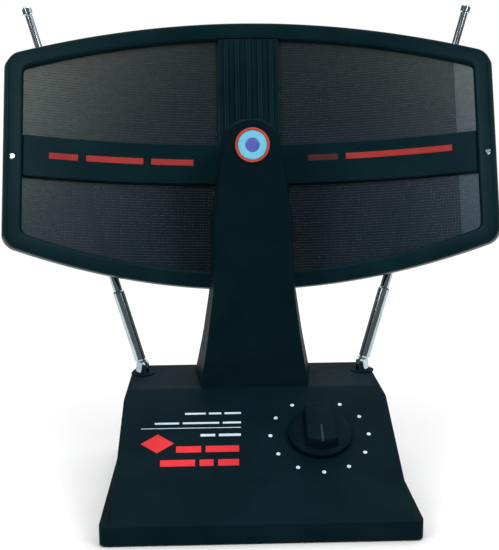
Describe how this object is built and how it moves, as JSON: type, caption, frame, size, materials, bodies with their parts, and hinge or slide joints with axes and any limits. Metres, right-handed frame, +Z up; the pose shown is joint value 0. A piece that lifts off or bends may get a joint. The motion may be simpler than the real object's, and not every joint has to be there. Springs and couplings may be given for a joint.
{
  "type": "indoor television antenna",
  "caption": "Set-top antenna with a sloping console base and rotary selector, a column carrying a curved mesh reflector, and two telescopic ears that swivel and tilt.",
  "frame": {"origin": "centre of the footprint box, on the surface that the feet stand on", "axes": "+Z up, front (console face and selector) towards -Y, +X to the right as seen from the front"},
  "size_m": [0.353, 0.2162, 0.3372],
  "materials": {
    "black_plastic": "satin moulded ABS",
    "dark_frame": "semi-gloss moulded frame",
    "knob_plastic": "satin",
    "rubber": "matt",
    "chrome": "polished",
    "zinc_screw": "zinc plated",
    "steel": "plain rolled",
    "mesh": "dark perforated sheet",
    "mark_white": "printed",
    "badge_red": "gloss",
    "badge_cyan": "gloss",
    "badge_violet": "gloss",
    "phenolic": "board laminate",
    "copper": "enamelled wire",
    "ceramic_cap": "dipped ceramic",
    "ferrite": "sintered",
    "nickel": "nickel plated",
    "lead_brown": "flat ribbon lead",
    "brass": "stamped"
  },
  "bodies": {
    "stand": {"base_housing": "black_plastic", "base_plate": "black_plastic", "base_feet": "rubber", "base_screws": "zinc_screw", "ballast_weight": "steel", "ballast_screws": "zinc_screw", "switch_body": "phenolic", "switch_nut": "zinc_screw", "dial_marks": "mark_white", "circuit_board": "phenolic", "board_screws": "zinc_screw", "tuning_coils": "copper", "capacitors": "ceramic_cap", "balun_core": "ferrite", "coax_jack": "nickel", "jack_nut": "nickel", "feeder_lead": "lead_brown", "uhf_coupler": "brass", "column_front": "black_plastic", "column_back": "black_plastic", "column_screws": "zinc_screw", "foot_screws": "zinc_screw", "badge_rim": "badge_red", "badge_disc": "badge_cyan", "badge_centre": "badge_violet", "hub_neck": "black_plastic", "hub_bolt": "zinc_screw", "panel_bezel": "dark_frame", "panel_rear_frame": "dark_frame", "reflector_mesh": "mesh", "cross_band_left": "dark_frame", "cross_band_right": "dark_frame", "centre_strut": "dark_frame", "panel_screws": "zinc_screw", "end_rivets": "chrome", "left_bush": "black_plastic", "right_bush": "black_plastic"},
    "selector": {"selector_knob": "knob_plastic", "knob_pointer": "mark_white", "switch_shaft": "steel", "switch_rotor": "phenolic"},
    "left_swivel": {"left_turret": "chrome", "left_pivot_pin": "zinc_screw", "left_circlip": "steel"},
    "left_arm": {"left_sleeve": "chrome", "left_base_tube": "chrome"},
    "left_middle": {"left_middle_tube": "chrome"},
    "left_upper": {"left_upper_tube": "chrome"},
    "left_tip": {"left_tip_rod": "chrome"},
    "right_swivel": {"right_turret": "chrome", "right_pivot_pin": "zinc_screw", "right_circlip": "steel"},
    "right_arm": {"right_sleeve": "chrome", "right_base_tube": "chrome"},
    "right_middle": {"right_middle_tube": "chrome"},
    "right_upper": {"right_upper_tube": "chrome"},
    "right_tip": {"right_tip_rod": "chrome"}
  },
  "joints": [
    {"name": "selector_turn", "type": "hinge", "parent": "stand", "child": "selector", "pos_m": [0.0417, -0.04156, 0.04618], "axis": [0, -0.4493, 0.8934], "range_deg": [-150, 150]},
    {"name": "left_swivel_turn", "type": "hinge", "parent": "stand", "child": "left_swivel", "pos_m": [-0.0815, 0.03922, 0.0732], "axis": [0, 0, -1], "range_deg": [0, 57]},
    {"name": "left_ear_tilt", "type": "hinge", "parent": "left_swivel", "child": "left_arm", "pos_m": [-0.0815, 0.03922, 0.0732], "axis": [-0.5388, -0.8425, 0], "range_deg": [0, 54]},
    {"name": "left_middle_slide", "type": "slide", "parent": "left_arm", "child": "left_middle", "axis": [-0.2978, 0.1904, 0.9354], "range_m": [-0.086, 0.07]},
    {"name": "left_upper_slide", "type": "slide", "parent": "left_middle", "child": "left_upper", "axis": [-0.2978, 0.1904, 0.9354], "range_m": [0, 0.155]},
    {"name": "left_tip_slide", "type": "slide", "parent": "left_upper", "child": "left_tip", "axis": [-0.2978, 0.1904, 0.9354], "range_m": [0, 0.15]},
    {"name": "right_swivel_turn", "type": "hinge", "parent": "stand", "child": "right_swivel", "pos_m": [0.0815, 0.03922, 0.0732], "axis": [0, 0, 1], "range_deg": [0, 57]},
    {"name": "right_ear_tilt", "type": "hinge", "parent": "right_swivel", "child": "right_arm", "pos_m": [0.0815, 0.03922, 0.0732], "axis": [-0.5388, 0.8425, 0], "range_deg": [0, 54]},
    {"name": "right_middle_slide", "type": "slide", "parent": "right_arm", "child": "right_middle", "axis": [0.2978, 0.1904, 0.9354], "range_m": [-0.086, 0.07]},
    {"name": "right_upper_slide", "type": "slide", "parent": "right_middle", "child": "right_upper", "axis": [0.2978, 0.1904, 0.9354], "range_m": [0, 0.155]},
    {"name": "right_tip_slide", "type": "slide", "parent": "right_upper", "child": "right_tip", "axis": [0.2978, 0.1904, 0.9354], "range_m": [0, 0.15]}
  ]
}
